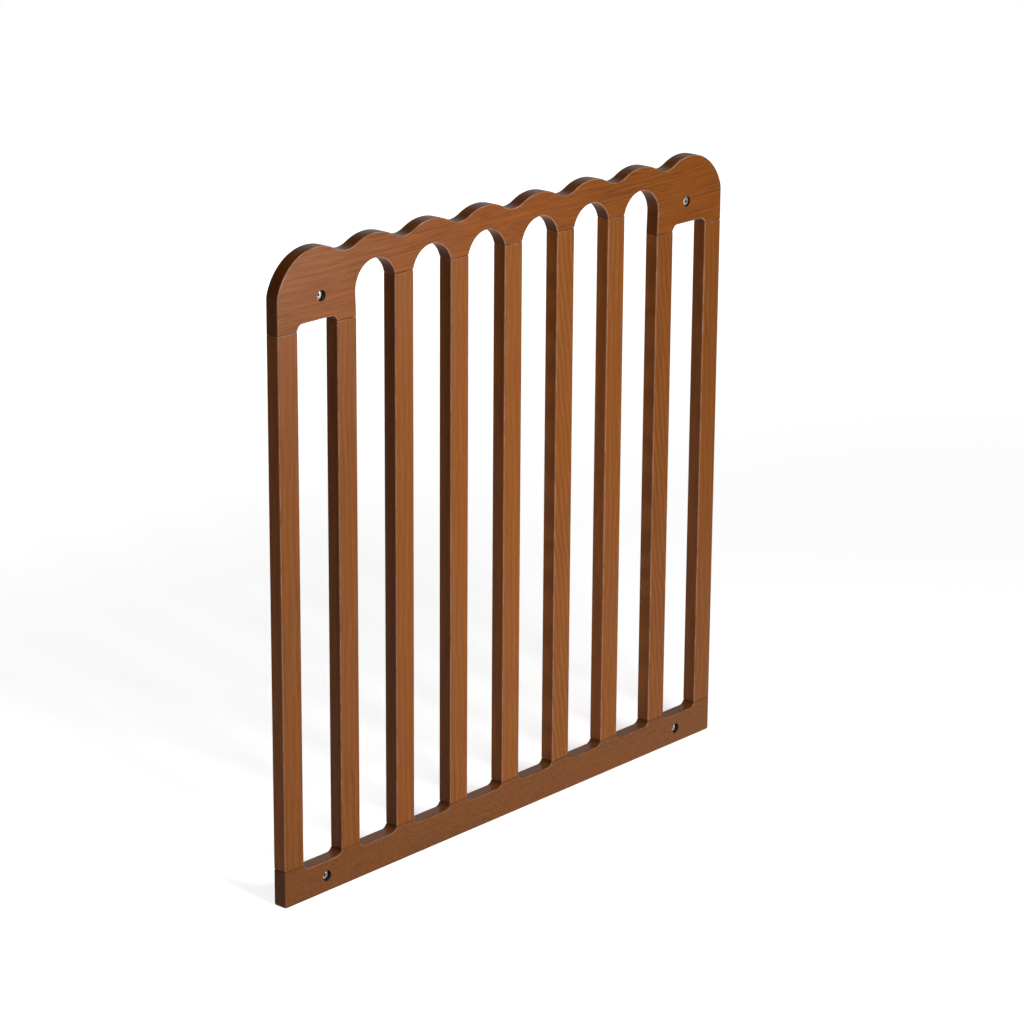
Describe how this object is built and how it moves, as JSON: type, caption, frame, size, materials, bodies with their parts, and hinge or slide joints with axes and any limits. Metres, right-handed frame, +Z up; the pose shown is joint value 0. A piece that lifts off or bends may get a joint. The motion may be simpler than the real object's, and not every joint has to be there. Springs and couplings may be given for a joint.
{
  "type": "safety baby gate",
  "caption": "Stained wooden safety gate panel: slats doweled between a straight bottom rail and a scalloped, arched top rail, with a recessed screw near each corner.",
  "frame": {"origin": "middle of the underside of the bottom rail, halfway through its thickness", "axes": "+Z up the slats, +X along the rails, front face towards -Y"},
  "size_m": [0.75, 0.018, 0.741],
  "materials": {
    "stained_rail": "satin stain, grain along the rail",
    "stained_slat": "satin stain, grain along the slat",
    "bare_beech": "unfinished turned dowel",
    "zinc_plated_steel": "bright zinc plating"
  },
  "bodies": {
    "root": {"top_rail": "stained_rail", "bottom_rail": "stained_rail", "slat_1": "stained_slat", "slat_2": "stained_slat", "slat_3": "stained_slat", "slat_4": "stained_slat", "slat_5": "stained_slat", "slat_6": "stained_slat", "slat_7": "stained_slat", "slat_8": "stained_slat", "slat_9": "stained_slat", "dowel_bottom_1": "bare_beech", "dowel_bottom_2": "bare_beech", "dowel_bottom_3": "bare_beech", "dowel_bottom_4": "bare_beech", "dowel_bottom_5": "bare_beech", "dowel_bottom_6": "bare_beech", "dowel_bottom_7": "bare_beech", "dowel_bottom_8": "bare_beech", "dowel_bottom_9": "bare_beech", "dowel_top_1": "bare_beech", "dowel_top_2": "bare_beech", "dowel_top_3": "bare_beech", "dowel_top_4": "bare_beech", "dowel_top_5": "bare_beech", "dowel_top_6": "bare_beech", "dowel_top_7": "bare_beech", "dowel_top_8": "bare_beech", "dowel_top_9": "bare_beech", "screw_upper_left": "zinc_plated_steel", "screw_upper_right": "zinc_plated_steel", "screw_lower_left": "zinc_plated_steel", "screw_lower_right": "zinc_plated_steel", "sleeve_nut_upper_left": "zinc_plated_steel", "sleeve_nut_upper_right": "zinc_plated_steel", "sleeve_nut_lower_left": "zinc_plated_steel", "sleeve_nut_lower_right": "zinc_plated_steel"}
  },
  "joints": []
}
